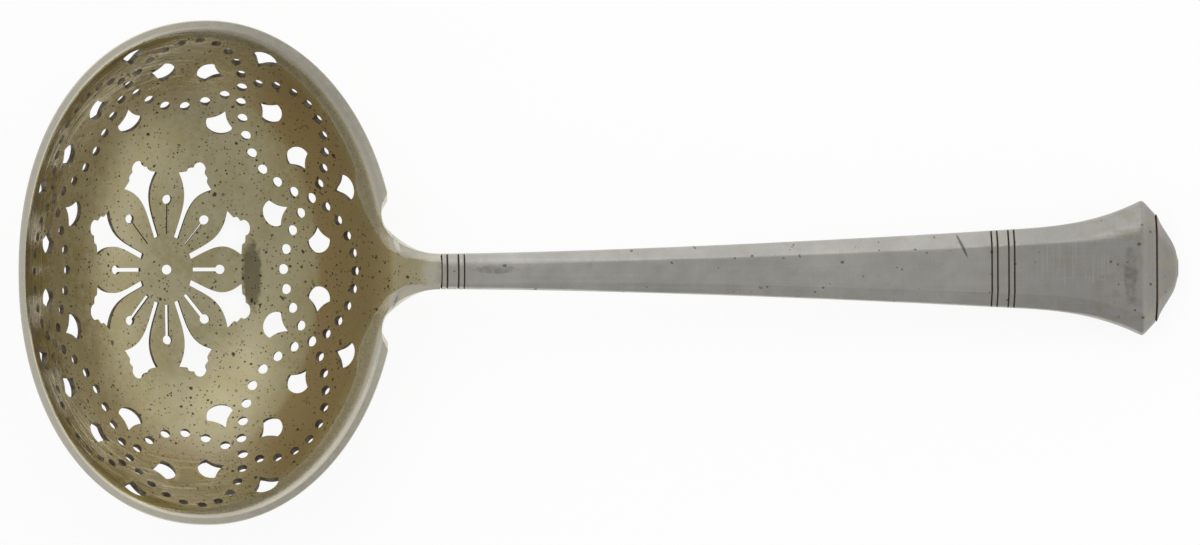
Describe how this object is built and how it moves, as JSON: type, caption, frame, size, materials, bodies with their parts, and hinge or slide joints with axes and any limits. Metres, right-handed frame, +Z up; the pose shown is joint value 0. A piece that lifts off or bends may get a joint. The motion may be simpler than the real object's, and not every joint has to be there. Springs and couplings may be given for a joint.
{
  "type": "sugar sifter spoon",
  "caption": "Sugar sifter spoon: pierced oval bowl, gilt inside, on a hollow chamfered silver handle that flares to a capped end.",
  "frame": {"origin": "centre of the bounding box on the ground that the spoon lies on", "axes": "+X along the handle from the bowl to the end cap, +Y across the bowl, +Z up out of the bowl"},
  "size_m": [0.1602, 0.0696, 0.029],
  "materials": {
    "gilt": "worn gilding on silver, satin",
    "silver": "satin silver with fine scratches",
    "cement": "matte filling"
  },
  "bodies": {
    "root": {"bowl": "gilt", "neck_shank": "gilt", "neck_collar": "silver", "handle_front_shell": "silver", "handle_back_shell": "silver", "handle_core": "cement", "end_cap": "silver"}
  },
  "joints": []
}
